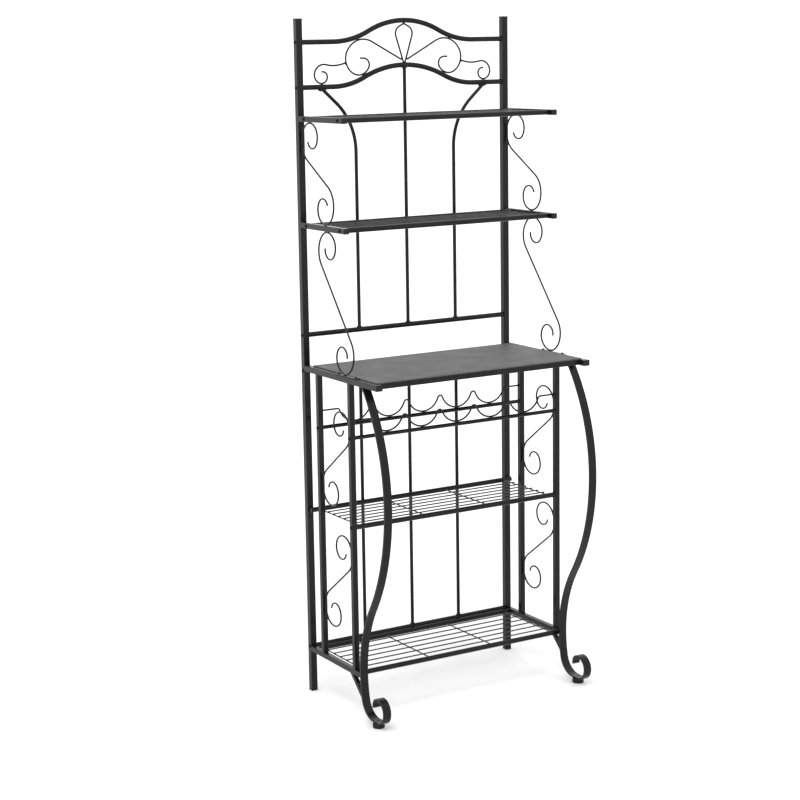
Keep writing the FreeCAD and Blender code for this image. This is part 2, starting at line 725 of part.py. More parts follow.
def build_upper_shelf(name, shelf_rail):
    """Two side bars bolted to the posts, two cross rails bolted between them, and a wire grid."""
    height = middle_height(f"{name}_height")
    setbacks = ("shelf_rear_rail_setback", "shelf_front_rail_setback")
    rail_rows = [f"sizes.{place_name} - sizes.rear_post" for place_name in setbacks]
    for side, sign in SIDES.items():
        bar = stock(f"{name}_{side}_bar", SQUARE["shelf_bar"],
                    "(sizes.shelf_reach - sizes.rear_post - sizes.plug_head)", REAR_PLUG,
                    (("YZ_Plane", BOLT_BORE, rail_rows),))
        bore_ends(bar, f"{sign} * ({POST_X} - {BAR_X})")
        stand(bar, (f"{sign} * {BAR_X}", POST_FRONT, height), FORWARD)
    rear, front = (setback(place_name) for place_name in setbacks)
    group(f"{name}_rails", shelf_rail, [(f"-{BAR_SPAN} / 2", y, height) for y in (rear, front)], ACROSS)
    wire_grid(f"{name}_wires", BAR_SPAN, rear, front, height, even_rows(rear, front, "shelf_wire_count"))


def build_upper_shelves():
    shelf_rail = bore_ends(stock("shelf_rail", ("sizes.rail_diameter",), BAR_SPAN, BOTH_PLUGS)).Shape
    front_end = f"({setback('shelf_reach')} + sizes.plug_head)"
    caps = []
    for name in ("top_shelf", "second_shelf"):
        build_upper_shelf(name, shelf_rail)
        caps += both_sides(BAR_X, front_end, middle_height(f"{name}_height"))
    group("shelf_bar_caps", end_cap("shelf_cap", *SQUARE["shelf_bar"]), caps, FORWARD)


# Side scrolls: two curls joined by a straight that takes up the height or width between its seats


def double_curl(name, reach, way, upright):
    """The path of a scroll centred on its straight; reach is its height if upright, or else its width."""
    lean = value(f"sizes.{name}_lean_degrees")
    heading = HALF_TURN - lean if upright else lean
    curls = curl(value(f"sizes.{name}_radius"), value(f"sizes.{name}_turn_degrees"), way)
    upper = bend((0, 0), heading, curls)
    lower = bend((0, 0), heading + HALF_TURN, curls)
    if upright:
        spent = upper.BoundBox.ZMax - lower.BoundBox.ZMin
        straight = (reach - spent) / math.sin(math.radians(lean))
    else:
        spent = upper.BoundBox.XMax - lower.BoundBox.XMin
        straight = (reach - spent) / math.cos(math.radians(lean))
    ahead = Vector(math.cos(math.radians(heading)), 0, math.sin(math.radians(heading)))
    half = ahead * (straight / 2)
    lower.translate(-half)
    upper.translate(half)
    middle = Part.LineSegment(-half, half).toShape()
    return Part.Wire(Part.sortEdges(lower.Edges + [middle] + upper.Edges)[0])


def scroll_pair(label, path, x, rear, low):
    """The same wire on both sides, set by its rearmost and lowest points in the side planes."""
    seat = value("sizes.scroll_wire / 2 + sizes.weld_gap")
    depth = value(rear) - seat + path.BoundBox.XMin
    lift = value(low) + seat - path.BoundBox.ZMin
    wire = round_bar(path, value("sizes.scroll_wire / 2"))
    group(label, wire, both_sides(x, str(depth), str(lift)), SIDE_ON)


def build_side_scrolls():
    seats = "(sizes.scroll_wire + 2 * sizes.weld_gap)"
    foot_top = "(sizes.table_height + sizes.scroll_foot_thickness)"
    shelf_gap = value(f"sizes.top_shelf_height - sizes.shelf_bar - sizes.second_shelf_height - {seats}")
    table_gap = value(f"sizes.second_shelf_height - sizes.shelf_bar - {foot_top} - {seats}")
    post_gap = value(f"sizes.front_post_setback - sizes.mid_post_setback - sizes.lower_post - {seats}")
    upper = double_curl("upper_scroll", shelf_gap, CLOCKWISE, True)
    tall = double_curl("tall_scroll", table_gap, CLOCKWISE, True)
    side = double_curl("side_scroll", post_gap, ANTICLOCKWISE, False)
    scroll_pair("top_shelf_scrolls", upper, BAR_X, POST_FRONT, "sizes.second_shelf_height")
    scroll_pair("second_shelf_scrolls", tall, BAR_X, setback("tall_scroll_setback"), foot_top)
    middles = {"upper": "sizes.table_height - sizes.side_scroll_upper_drop",
               "lower": "sizes.side_scroll_lower_height"}
    for tier, middle in middles.items():
        low = f"{middle} - {side.BoundBox.ZLength / 2}"
        scroll_pair(f"{tier}_side_scrolls", side, LOWER_POST_X, MID_POST_FRONT, low)


def build_scroll_feet():
    """Small plates that hold the tall scrolls on the worktop rails, with two screws each."""
    half = "sizes.scroll_foot_length / 2"
    rows = [f"{half} + {end} * sizes.scroll_screw_spacing / 2" for end in (-1, 1)]
    plate = stock("scroll_foot", ("sizes.scroll_foot_width", "sizes.scroll_foot_thickness"),
                  "sizes.scroll_foot_length", holes=(("XZ_Plane", SCREW_BORE, rows),), rounded=False)
    middle = "sizes.table_height + sizes.scroll_foot_thickness / 2"
    group("scroll_feet", plate.Shape, both_sides(BAR_X, setback("scroll_foot_setback"), middle), FORWARD)


# Worktop


def build_worktop():
    """A frame of two side rails and two cross rails under a flat panel."""
    section = ("sizes.table_rail_width", "sizes.table_rail_height")
    for side, sign in SIDES.items():
        rail = stock(f"table_{side}_rail", section,
                     "(sizes.table_reach - sizes.rear_post - sizes.plug_head)", REAR_PLUG)
        bore_ends(rail, f"{sign} * ({POST_X} - {TABLE_RAIL_X})")
        drill_for_screws(rail, f"{sign} * ({BAR_X} - {TABLE_RAIL_X})")
        stand(rail, (f"{sign} * {TABLE_RAIL_X}", POST_FRONT, TABLE_RAIL_Z), FORWARD)
    front_end = f"({setback('table_reach')} + sizes.plug_head)"
    group("table_rail_caps", end_cap("table_cap", *section),
          both_sides(TABLE_RAIL_X, front_end, TABLE_RAIL_Z), FORWARD)
    for end in ("rear", "front"):
        rail = stock(f"table_{end}_rail", SQUARE["shelf_bar"], TABLE_SPAN, OPEN_ENDS)
        middle = "sizes.table_height - sizes.shelf_bar / 2"
        stand(rail, (f"-{TABLE_SPAN} / 2", setback(f"table_{end}_rail_setback"), middle), ACROSS)
    build_table_panel()


def drill_for_screws(rail, aside):
    """Screw holes down through the top wall of a worktop rail."""
    sketch = new_sketch(rail, "XZ_Plane")
    middle = "sizes.scroll_foot_setback - sizes.rear_post + sizes.scroll_foot_length / 2"
    for end in (-1, 1):
        draw_circle(sketch, SCREW_BORE, f"{middle} + {end} * sizes.scroll_screw_spacing / 2", aside)
    add_pocket(rail, sketch, toward_normal=False)


def build_table_panel():
    """The flat top, from the rear rail's rear face to the front rail's front face."""
    body = new_body("table_panel")
    outline = new_sketch(body, "XY_Plane")
    depth = "(sizes.table_front_rail_setback - sizes.table_rear_rail_setback + sizes.shelf_bar)"
    draw_rectangle(outline, f"2 * ({SIDE_FACE} - sizes.panel_side_margin)", depth)
    pad = add_pad(body, outline, "sizes.panel_thickness")
    round_edges(body, pad, "sizes.panel_rounding", lies_on_top(value("sizes.panel_thickness")))
    middle = f"{REAR_FACE} - (sizes.table_front_rail_setback + sizes.table_rear_rail_setback) / 2"
    place(body, ("0", middle, "sizes.table_height"))
    keep(body, "table_panel")


# Lower frame: posts, back panel, bottle rack and wire shelves


def build_lower_posts():
    """Square posts from the bottom rails up to the worktop rails."""
    length = f"({TABLE_UNDERSIDE} - sizes.bottom_rail_height)"
    wine_row = f"{WINE_RAIL_Z} - sizes.bottom_rail_height"
    shelf_row = "sizes.mid_shelf_height - sizes.bottom_rail_height"
    rows = {"mid": [wine_row], "front": [wine_row, shelf_row]}
    depths = {"mid": MID_POST_Y, "front": FRONT_POST_Y}
    for side, sign in SIDES.items():
        for name, y in depths.items():
            post = stock(f"{side}_{name}_post", SQUARE["lower_post"], length, OPEN_ENDS,
                         (("YZ_Plane", BOLT_BORE, rows[name]),))
            stand(post, (f"{sign} * {LOWER_POST_X}", y, "sizes.bottom_rail_height"))


def build_lower_panel():
    """Two rails between the rear posts with three upright bars welded between them."""
    for end, height in {"top": LOWER_PANEL_TOP, "bottom": LOWER_PANEL_BOTTOM}.items():
        cross_rail(f"lower_panel_{end}_rail", POST_SPAN, "sizes.rail_diameter", POST_MIDDLE, height)
    length = f"({LOWER_PANEL_TOP} - {LOWER_PANEL_BOTTOM})"
    bar = stock("lower_panel_bar", ("sizes.panel_bar_diameter",), length, saddle=RAIL_SADDLE)
    spread = ("-sizes.panel_bar_spread", "0", "sizes.panel_bar_spread")
    group("lower_panel_bars", bar.Shape, [(x, POST_MIDDLE, LOWER_PANEL_BOTTOM) for x in spread])


def wave_wire():
    """A wire of wide round valleys and tight peaks, with a straight at each end up to the posts."""
    half_pitch = value("sizes.wave_pitch / 2")
    depth = value("sizes.wave_depth")
    valley, peak, turn = s_bend(depth, half_pitch, value("sizes.wave_valley_share"))
    count = int(value("sizes.wave_count"))
    straight = value(f"{LOWER_SPAN} / 2 - sizes.weld_gap") - count * half_pitch
    wave = [(peak, -turn), (valley, 2 * turn), (peak, -turn)]
    moves = [(straight, None)] + wave * count + [(straight, None)]
    path = bend((-count * half_pitch - straight, depth), 0, moves)
    return round_bar(path, value("sizes.scroll_wire / 2"))


def build_wine_rack():
    """A rail and a wave wire at the mid posts and again at the front posts."""
    rail = bore_ends(stock("wine_rail", ("sizes.wine_rail_diameter",), LOWER_SPAN, BOTH_PLUGS)).Shape
    valley = f"{WINE_RAIL_Z} + (sizes.wine_rail_diameter + sizes.scroll_wire) / 2 + sizes.weld_gap"
    depths = (MID_POST_Y, FRONT_POST_Y)
    group("wine_rails", rail, [(f"-{LOWER_SPAN} / 2", y, WINE_RAIL_Z) for y in depths], ACROSS)
    group("wine_wave_wires", wave_wire(), [("0", y, valley) for y in depths])


def build_mid_shelf():
    """A rear rail bolted to the fronts of the rear posts, a front rail and a wire grid."""
    height = "sizes.mid_shelf_height"
    length = f"(2 * ({SIDE_FACE} - sizes.mid_shelf_end_margin))"
    rear_rail = stock("mid_shelf_rear_rail", ("sizes.rail_diameter",), length, BOTH_PLUGS)
    tip = "sizes.bolt_reach - sizes.rear_post - sizes.weld_gap - sizes.rail_diameter / 2 + sizes.bolt_fit"
    bolt_holes = new_sketch(rear_rail, "XZ_Plane", tip)
    for sign in SIDES.values():
        draw_circle(bolt_holes, BOLT_BORE, f"{length} / 2 + {sign} * {POST_X}")
    add_pocket(rear_rail, bolt_holes, toward_normal=False)
    stand(rear_rail, (f"-{length} / 2", MID_REAR_RAIL_Y, height), ACROSS)
    cross_rail("mid_shelf_front_rail", LOWER_SPAN, "sizes.rail_diameter", FRONT_POST_Y, height)
    rows = range(1, int(value("sizes.mid_wire_count")) + 1)
    wire_grid("mid_shelf_wires", LOWER_SPAN, MID_REAR_RAIL_Y, FRONT_POST_Y, height,
              [f"({FRONT_POST_Y} + {row} * sizes.mid_wire_pitch)" for row in rows])


def build_bottom_shelf():
    """Side rails from the rear posts to the legs, with a rail at each end and a wire grid."""
    length = "(sizes.leg_waist_setback - sizes.leg_thickness / 2 - sizes.weld_gap - sizes.rear_post)"
    for side, sign in SIDES.items():
        rail = stock(f"bottom_{side}_rail", SQUARE["lower_post"], length, REAR_PLUG)
        bore_ends(rail, f"{sign} * ({POST_X} - {LOWER_POST_X})", f"{BOTTOM_BOLT_Z} - {BOTTOM_RAIL_Z}")
        stand(rail, (f"{sign} * {LOWER_POST_X}", POST_FRONT, BOTTOM_RAIL_Z), FORWARD)
    rear, front = setback("bottom_rear_rail_setback"), setback("bottom_front_rail_setback")
    for end, y in {"rear": rear, "front": front}.items():
        rail = stock(f"bottom_{end}_rail", ("sizes.rail_diameter",), LOWER_SPAN, OPEN_ENDS)
        stand(rail, (f"-{LOWER_SPAN} / 2", y, BOTTOM_RAIL_Z), ACROSS)
    wire_grid("bottom_shelf_wires", LOWER_SPAN, rear, front, BOTTOM_RAIL_Z,
              even_rows(rear, front, "bottom_wire_count"))


# Bowed front legs, their braces and levelling feet


def leg_path():
    """The middle of a leg in its side plane: X is forward, from the worktop down to the foot scroll."""
    thickness = value("sizes.leg_thickness")
    bulge = value("sizes.overall_depth / 2") - thickness / 2
    bulge_height = value("sizes.leg_bulge_height")
    waist = -value(setback("leg_waist_setback"))
    drop = value("sizes.leg_bulge_height - sizes.leg_waist_height")
    bulge_radius, waist_radius, swing_turn = s_bend(bulge - waist, drop, value("sizes.leg_bulge_share"))
    floor = value("sizes.pad_height + sizes.weld_gap") + thickness / 2
    above = value("sizes.leg_waist_height") - floor
    back = waist + waist_radius + value(setback("leg_flat_setback"))
    ankle_radius = (waist_radius ** 2 - back ** 2 - above ** 2) / (2 * (waist_radius - above))
    ankle_turn = math.degrees(math.asin((above - ankle_radius) / (waist_radius - ankle_radius)))
    top = value(f"{TABLE_UNDERSIDE} + sizes.overrun") - bulge_height
    top_turn = math.asin(top / bulge_radius)
    start = (bulge - bulge_radius * (1 - math.cos(top_turn)), bulge_height + top)
    top_turn = math.degrees(top_turn)
    return bend(start, top_turn - QUARTER_TURN, [
        (bulge_radius, -(top_turn + swing_turn)),
        (waist_radius, swing_turn + ankle_turn),
        (ankle_radius, QUARTER_TURN - ankle_turn),
        (value("sizes.leg_flat_length"), None),
        (value("sizes.foot_scroll_radius"), HALF_TURN),
        (value("sizes.foot_lip_radius"), value("sizes.foot_lip_turn_degrees"))])


def above_level(level):
    """A large block over a height, used to cut bars off level."""
    reach = value("sizes.overall_depth")
    return Part.makeBox(2 * reach, reach, reach, Vector(-reach, -reach / 2, value(level)))


def build_legs():
    """A flat bar bent to the leg's path, with a hole for its foot stud and a brace behind it."""
    path = leg_path()
    thickness, width = value("sizes.leg_thickness"), value("sizes.leg_width")
    hole = Part.makeCylinder(value("sizes.stud_diameter / 2 + sizes.stud_clearance"),
                             thickness + value("2 * sizes.overrun"))
    hole = placed(hole, (f"-{FOOT_Y}", "0", "sizes.pad_height - sizes.overrun"))
    leg = flat_bar(path, thickness, width).cut([above_level(TABLE_UNDERSIDE), hole])
    for side, sign in SIDES.items():
        shaped_node(f"{side}_front_leg", leg, (f"{sign} * {LEG_X}", "0", "0"), SIDE_ON)
    brace = leg_brace(flat_bar(path, thickness + value("2 * sizes.weld_gap"), width))
    group("leg_braces", brace, both_sides(LOWER_POST_X, "0", "0"), SIDE_ON)


def leg_brace(leg_clearance):
    """A square bar from under the side rail down to the back of the leg."""
    rail_underside = "sizes.bottom_rail_height - sizes.lower_post"
    top = Vector(-value(setback("brace_top_setback")), 0, value(rail_underside))
    foot = Vector(-value(setback("brace_foot_setback")), 0, value("sizes.brace_foot_height"))
    over = (foot - top).normalize() * value("sizes.overrun")
    side = value("sizes.brace_bar")
    bar = flat_bar(Part.Wire([Part.LineSegment(top - over, foot + over).toShape()]), side, side)
    return largest(bar.cut([above_level(rail_underside), leg_clearance]))


def hexagon(width, height):
    """A six-sided block along Z, as wide as this across its flats."""
    sides = 6
    corner = Vector(width / 2 / math.cos(math.pi / sides), 0, 0)
    turns = [Rotation(Vector(0, 0, 1), FULL_TURN * index / sides) for index in range(sides)]
    points = [turn.multVec(corner) for turn in turns]
    return Part.Face(Part.makePolygon(points + points[:1])).extrude(Vector(0, 0, height))


def slot(width, length, depth, top):
    """A block that cuts a screwdriver slot down from the top of a piece."""
    return Part.makeBox(width, length, depth, Vector(-width / 2, -length / 2, top - depth))


def foot_pad(nut):
    """A round pad, turned from half its section, with a recess for the nut and a socket for the stud."""
    base, neck = value("sizes.pad_diameter / 2"), value("sizes.pad_neck_diameter / 2")
    fit = value("sizes.pad_recess_fit")
    recess = nut.BoundBox.XLength / 2 + fit
    socket = value("sizes.stud_diameter / 2 + sizes.stud_fit")
    top, floor = value("sizes.pad_height"), value("sizes.pad_floor")
    recess_floor = top - value("sizes.nut_height") - fit
    rounding = value("sizes.panel_rounding")
    section = [(0, 0), (base - rounding, 0), (base, rounding), (base, value("sizes.pad_base_height")),
               (neck, top), (recess, top), (recess, recess_floor), (socket, recess_floor),
               (socket, floor), (0, floor)]
    points = [Vector(radius, 0, height) for radius, height in section]
    return Part.Face(Part.makePolygon(points + points[:1])).revolve(Vector(), Vector(0, 0, 1), FULL_TURN)


def foot_nut():
    height = value("sizes.nut_height")
    bore = Part.makeCylinder(value("sizes.stud_diameter / 2 + sizes.stud_fit"), height)
    return hexagon(value("sizes.nut_width"), height).cut(bore)


def foot_stud():
    """A stud that ends just under the leg's upper face, slotted for a screwdriver from above."""
    diameter = value("sizes.stud_diameter")
    length = value("sizes.pad_height + sizes.leg_thickness - sizes.pad_floor - sizes.weld_gap")
    cut = slot(value("sizes.stud_slot_width"), 2 * diameter, value("sizes.stud_slot_depth"), length)
    return Part.makeCylinder(diameter / 2, length).cut(cut)


def build_levelling_feet():
    """A swivel pad on a stud that screws through a nut welded under each foot, inside the pad."""
    nut = foot_nut()
    pad, stud = foot_pad(nut), foot_stud()
    for side, sign in SIDES.items():
        x = f"{sign} * {LEG_X}"
        shaped_node(f"{side}_foot_pad", pad, (x, FOOT_Y, "0"))
        shaped_node(f"{side}_foot_stud", stud, (x, FOOT_Y, "sizes.pad_floor + sizes.weld_gap"))
    group("foot_nuts", nut, both_sides(LEG_X, FOOT_Y, "sizes.pad_height - sizes.nut_height"))


# Bolts and screws


def fastener(name, recess):
    """A fastener along Z with a flat-topped dome: its head starts at zero and its shank runs down."""
    radius, reach = value(f"sizes.{name}_diameter / 2"), value(f"sizes.{name}_reach")
    head, head_height = value(f"sizes.{name}_head_diameter / 2"), value(f"sizes.{name}_head_height")
    flat = head * value("sizes.head_flat_share")
    centre = (flat ** 2 + head_height ** 2 - head ** 2) / (2 * head_height)
    crown = Part.makeSphere(math.hypot(head, centre), Vector(0, 0, centre))
    dome = crown.common(Part.makeCylinder(head, head_height)).cut(recess)
    return dome.fuse(Part.makeCylinder(radius, reach, Vector(0, 0, -reach))).removeSplitter()


def socket_bolt():
    """A bolt with a six-sided socket in its head."""
    top, depth = value("sizes.bolt_head_height"), value("sizes.bolt_socket_depth")
    socket = hexagon(value("sizes.bolt_socket"), depth)
    socket.translate(Vector(0, 0, top - depth))
    return fastener("bolt", [socket])


def cross_screw():
    """A screw with a cross slot in its head."""
    width, length = value("sizes.screw_slot_width"), value("sizes.screw_slot_length")
    depth, top = value("sizes.screw_slot_depth"), value("sizes.screw_head_height")
    return fastener("screw", [slot(width, length, depth, top), slot(length, width, depth, top)])


def build_bolts():
    """The bolts through the posts and bars: sideways into the rails, and from behind into the bars."""
    bolt = socket_bolt()
    sideways = [(POST_MIDDLE, height) for height in PANEL_BOLT_HEIGHTS]
    for shelf in ("top_shelf_height", "second_shelf_height"):
        for rail in ("shelf_rear_rail_setback", "shelf_front_rail_setback"):
            sideways.append((setback(rail), middle_height(shelf)))
    sideways += [(MID_POST_Y, WINE_RAIL_Z), (FRONT_POST_Y, WINE_RAIL_Z),
                 (FRONT_POST_Y, "sizes.mid_shelf_height")]
    bolts = []
    for sign, outward in ((LEFT, LEFTWARD), (RIGHT, ACROSS)):
        bolts += [placed(bolt, (f"{sign} * {SIDE_FACE}", y, z), outward) for y, z in sideways]
        bolts += [placed(bolt, (f"{sign} * {POST_X}", REAR_FACE, z), BACKWARD) for z in REAR_BOLT_HEIGHTS]
    shaped_node("frame_bolts", Part.Compound(bolts))


def build_scroll_screws():
    seat = "sizes.table_height + sizes.scroll_foot_thickness"
    middle = f"({setback('scroll_foot_setback')} - sizes.scroll_foot_length / 2)"
    spots = []
    for end in (-1, 1):
        spots += both_sides(BAR_X, f"{middle} + {end} * sizes.scroll_screw_spacing / 2", seat)
    group("scroll_screws", cross_screw(), spots)


def check_and_export():
    """Stops on any broken feature, then writes one file for each node."""
    doc.recompute()
    broken = [item.Name for item in doc.Objects if {"Invalid", "Error"} & set(item.State)]
    broken += [node.Label for node in NODES if node.Shape.isNull() or not node.Shape.isValid()]
    if broken:
        raise RuntimeError("broken: " + ", ".join(broken))
    os.makedirs("parts", exist_ok=True)
    for node in NODES:
        node.Shape.exportStep(f"parts/{node.Label}.step")
    print(len(NODES), "nodes written")


build_rear_posts()
build_upper_panel()
build_upper_shelves()
build_side_scrolls()
build_scroll_feet()
build_worktop()
build_lower_posts()
build_lower_panel()
build_wine_rack()
build_mid_shelf()
build_bottom_shelf()
build_legs()
build_levelling_feet()
build_bolts()
build_scroll_screws()
check_and_export()
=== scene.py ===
import math

import bmesh
import bpy
from mathutils import Matrix, Vector
from mathutils.bvhtree import BVHTree


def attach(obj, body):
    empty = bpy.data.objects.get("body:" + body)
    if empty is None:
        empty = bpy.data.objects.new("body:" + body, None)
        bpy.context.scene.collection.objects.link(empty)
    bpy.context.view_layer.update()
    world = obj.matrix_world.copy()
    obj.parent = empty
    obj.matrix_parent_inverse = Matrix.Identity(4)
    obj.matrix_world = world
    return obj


# The looks of the steel rack: satin black coating, a dark grey worktop, and a pale studio round it.
# Lengths are in metres, in the same frame as the part.

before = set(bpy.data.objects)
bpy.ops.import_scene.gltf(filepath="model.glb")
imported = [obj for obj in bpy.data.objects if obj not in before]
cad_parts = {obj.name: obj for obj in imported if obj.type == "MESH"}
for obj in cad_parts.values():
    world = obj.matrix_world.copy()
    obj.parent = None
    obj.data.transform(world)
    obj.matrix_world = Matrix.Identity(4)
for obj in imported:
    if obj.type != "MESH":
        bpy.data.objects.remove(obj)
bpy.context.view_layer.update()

# Camera, fitted to the photograph; its angles are in radians
CAMERA_PLACE = Vector((-2.550, -3.974, 1.663))
CAMERA_YAW = -0.5274
CAMERA_PITCH = -0.1701
CAMERA_ROLL = 0.0185
CAMERA_LENS = 85.0
CAMERA_SHIFT = (0.04, -0.04)
QUARTER_TURN = math.pi / 2

# Studio
WHITE = (1, 1, 1, 1)
FLOOR_REACH = 400.0
SKY_STRENGTH = 1.35
SUN_STRENGTH = 0.6
SUN_SOFTNESS = math.radians(14)
SUN_FROM = Vector((-0.45, -0.35, 1.0))
SOFTBOX_PLACE = Vector((-2.2, 2.6, 1.2))
SOFTBOX_TARGET = Vector((0, 0, 0.9))
SOFTBOX_WIDTH = 1.8
SOFTBOX_HEIGHT = 2.4
SOFTBOX_POWER = 6

# What all coats share: the middle of a noise's values, the noises' details, and the lighter edges, which
# are partly rubbed wear and partly a painted sheen. An edge is lightened within its reach, from where the
# cosine between the rounded and the true normal starts to fall.
NOISE_LOW = 0.35
NOISE_HIGH = 0.65
MOTTLE_DETAIL = 4
WEAR_DETAIL = 2
SKIN_DETAIL = 2
WEAR_SCALE_SHARE = 0.25
SKIN_STRENGTH = 0.5
EDGE_REACH = 0.0012
EDGE_START_COSINE = 0.99
EDGE_FULL_COSINE = 0.8

# Coats: greys of the coat and of its lighter edges (partly rubbed wear, partly painted sheen), range of
# roughness, gloss, scales per metre of the mottling and of the bumpy skin, and depth of that skin
FRAME_COAT = {"low": 0.004, "high": 0.0065, "edge_wear_and_sheen": 0.03, "rough": (0.18, 0.26), "gloss": 0.2,
              "mottle_scale": 90, "skin_scale": 1500, "skin_depth": 0.00012}
# The wire grids' coat is a lighter copy of the frame's coat: its lighter grey paints the highlights along
# the tops of the thin wires.
WIRE_COAT_WITH_PAINTED_HIGHLIGHT = {"low": 0.008, "high": 0.014, "edge_wear_and_sheen": 0.04, "rough": (0.18, 0.26), "gloss": 0.5,
             "mottle_scale": 90, "skin_scale": 1500, "skin_depth": 0.00008}
WORKTOP_COAT = {"low": 0.069, "high": 0.079, "edge_wear_and_sheen": 0.115, "rough": (0.5, 0.6), "gloss": 0.27,
                "mottle_scale": 60, "skin_scale": 1200, "skin_depth": 0.0002}
PLASTIC_SKIN = {"low": 0.005, "high": 0.008, "edge_wear_and_sheen": 0.02, "rough": (0.45, 0.6), "gloss": 0.25,
                "mottle_scale": 140, "skin_scale": 2400, "skin_depth": 0.00008}
BLACK_OXIDE = {"low": 0.002, "high": 0.004, "edge_wear_and_sheen": 0.05, "rough": (0.2, 0.3), "gloss": 0.1,
               "mottle_scale": 300, "skin_scale": 3000, "skin_depth": 0.00005}
STUDIO_PAPER = {"low": 0.87, "high": 0.88, "edge_wear_and_sheen": 0.9, "rough": (0.9, 0.95), "gloss": 0.1,
                "mottle_scale": 3, "skin_scale": 40, "skin_depth": 0.0001}

# Nodes that don't have the frame's coat, by the material that they have
OTHER_COATS = {
    "worktop_coat": (WORKTOP_COAT, ("table_panel",)),
    # The wire grids get the lighter coat, whose grey is a painted highlight.
    "wire_coat_with_painted_highlight": (WIRE_COAT_WITH_PAINTED_HIGHLIGHT, (
        "top_shelf_wires", "second_shelf_wires", "mid_shelf_wires", "bottom_shelf_wires")),
    "black_plastic": (PLASTIC_SKIN, (
        "rear_post_plugs", "shelf_bar_caps", "table_rail_caps", "left_foot_pad", "right_foot_pad")),
    "black_hardware": (BLACK_OXIDE, (
        "frame_bolts", "scroll_screws", "foot_nuts", "left_foot_stud", "right_foot_stud")),
}

# Weld beads: the radius of the welded stock, the bead's shares of it each way, and the welded pieces
# with the pieces that carry them. The bars of the back panels have wide flared welds along their rails.
POSTS = ("left_mid_post", "left_front_post", "right_mid_post", "right_front_post")
UPPER_BARS = (
    "top_shelf_left_bar", "top_shelf_right_bar", "second_shelf_left_bar", "second_shelf_right_bar")
ARCHES = ("upper_arch_rail", "lower_arch_rail")
PANEL_RAILS = ("lower_arch_rail", "panel_lower_rail")
SCROLL_WIRE_RADIUS = 0.00225
SHELF_WIRE_RADIUS = 0.00175
PANEL_BAR_RADIUS = 0.0045
ROUND_BEAD_SHARES = (1.25, 1.25, 1.25)
FLARED_BEAD_SHARES = (1.65, 1.25, 1.1)
WELDS = {
    "crest_welds": (SCROLL_WIRE_RADIUS, ROUND_BEAD_SHARES, {
        "crest_teardrop": ARCHES,
        "crest_scrolls": (*ARCHES, "crest_teardrop"),
        "crest_end_scrolls": ("crest_scrolls", "lower_arch_rail")}),
    "panel_welds": (PANEL_BAR_RADIUS, FLARED_BEAD_SHARES, {
        "panel_center_bar": PANEL_RAILS,
        "left_curved_bar": PANEL_RAILS,
        "right_curved_bar": PANEL_RAILS,
        "lower_panel_bars": ("lower_panel_top_rail", "lower_panel_bottom_rail")}),
    "shelf_welds": (SHELF_WIRE_RADIUS, ROUND_BEAD_SHARES, {
        "top_shelf_wires": ("top_shelf_rails",),
        "second_shelf_wires": ("second_shelf_rails",),
        "mid_shelf_wires": ("mid_shelf_front_rail", "mid_shelf_rear_rail"),
        "bottom_shelf_wires": ("bottom_front_rail", "bottom_rear_rail")}),
    "scroll_welds": (SCROLL_WIRE_RADIUS, ROUND_BEAD_SHARES, {
        "top_shelf_scrolls": ("left_rear_post", "right_rear_post", *UPPER_BARS),
        "second_shelf_scrolls": ("scroll_feet", *UPPER_BARS),
        "upper_side_scrolls": POSTS,
        "lower_side_scrolls": POSTS}),
    "bottle_rack_welds": (SCROLL_WIRE_RADIUS, ROUND_BEAD_SHARES, {
        "wine_wave_wires": ("wine_rails", *POSTS)}),
}
WELD_REACH = 0.0006
WELD_SPREAD = 0.012
BEAD_SUBDIVISIONS = 3
BEAD_RIPPLES = 5
BEAD_RIPPLE_SHARE = 0.06


# Materials


def noise(tree, coords, scale, detail):
    """A noise texture in the object's own coordinates, with its scale per metre."""
    node = tree.nodes.new("ShaderNodeTexNoise")
    node.inputs["Scale"].default_value = scale
    node.inputs["Detail"].default_value = detail
    tree.links.new(coords, node.inputs["Vector"])
    return node.outputs["Fac"]


def ramp(tree, factor, low, high, edge_wear_and_sheen):
    """A grey that runs from low to high over the middle of a noise, and on past its end to the lighter
    edge grey, which is partly rubbed wear and partly painted sheen.
    """
    node = tree.nodes.new("ShaderNodeValToRGB")
    stops = node.color_ramp.elements
    stops.new(1)
    for stop, place, grey in zip(stops, (NOISE_LOW, NOISE_HIGH, 1), (low, high, edge_wear_and_sheen)):
        stop.position = place
        stop.color = (grey, grey, grey, 1)
    tree.links.new(factor, node.inputs["Fac"])
    return node.outputs["Color"]


def spread(tree, factor, low, high):
    """A number that runs from low to high over the middle of a noise."""
    node = tree.nodes.new("ShaderNodeMapRange")
    node.inputs["From Min"].default_value = NOISE_LOW
    node.inputs["From Max"].default_value = NOISE_HIGH
    node.inputs["To Min"].default_value = low
    node.inputs["To Max"].default_value = high
    tree.links.new(factor, node.inputs["Value"])
    return node.outputs["Result"]


def math_node(tree, operation, first, second):
    """Two varying numbers, joined by one operation."""
    node = tree.nodes.new("ShaderNodeMath")
    node.operation = operation
    tree.links.new(first, node.inputs[0])
    tree.links.new(second, node.inputs[1])
    return node.outputs["Value"]


def edge_mask(tree):
    """A number that rises to one along sharp edges, where a rounded normal leaves the true one."""
    rounded = tree.nodes.new("ShaderNodeBevel")
    rounded.inputs["Radius"].default_value = EDGE_REACH
    surface = tree.nodes.new("ShaderNodeNewGeometry")
    agreement = tree.nodes.new("ShaderNodeVectorMath")
    agreement.operation = "DOT_PRODUCT"
    tree.links.new(rounded.outputs["Normal"], agreement.inputs[0])
    tree.links.new(surface.outputs["Normal"], agreement.inputs[1])
    node = tree.nodes.new("ShaderNodeMapRange")
    node.inputs["From Min"].default_value = EDGE_START_COSINE
    node.inputs["From Max"].default_value = EDGE_FULL_COSINE
    tree.links.new(agreement.outputs["Value"], node.inputs["Value"])
    return node.outputs["Result"]


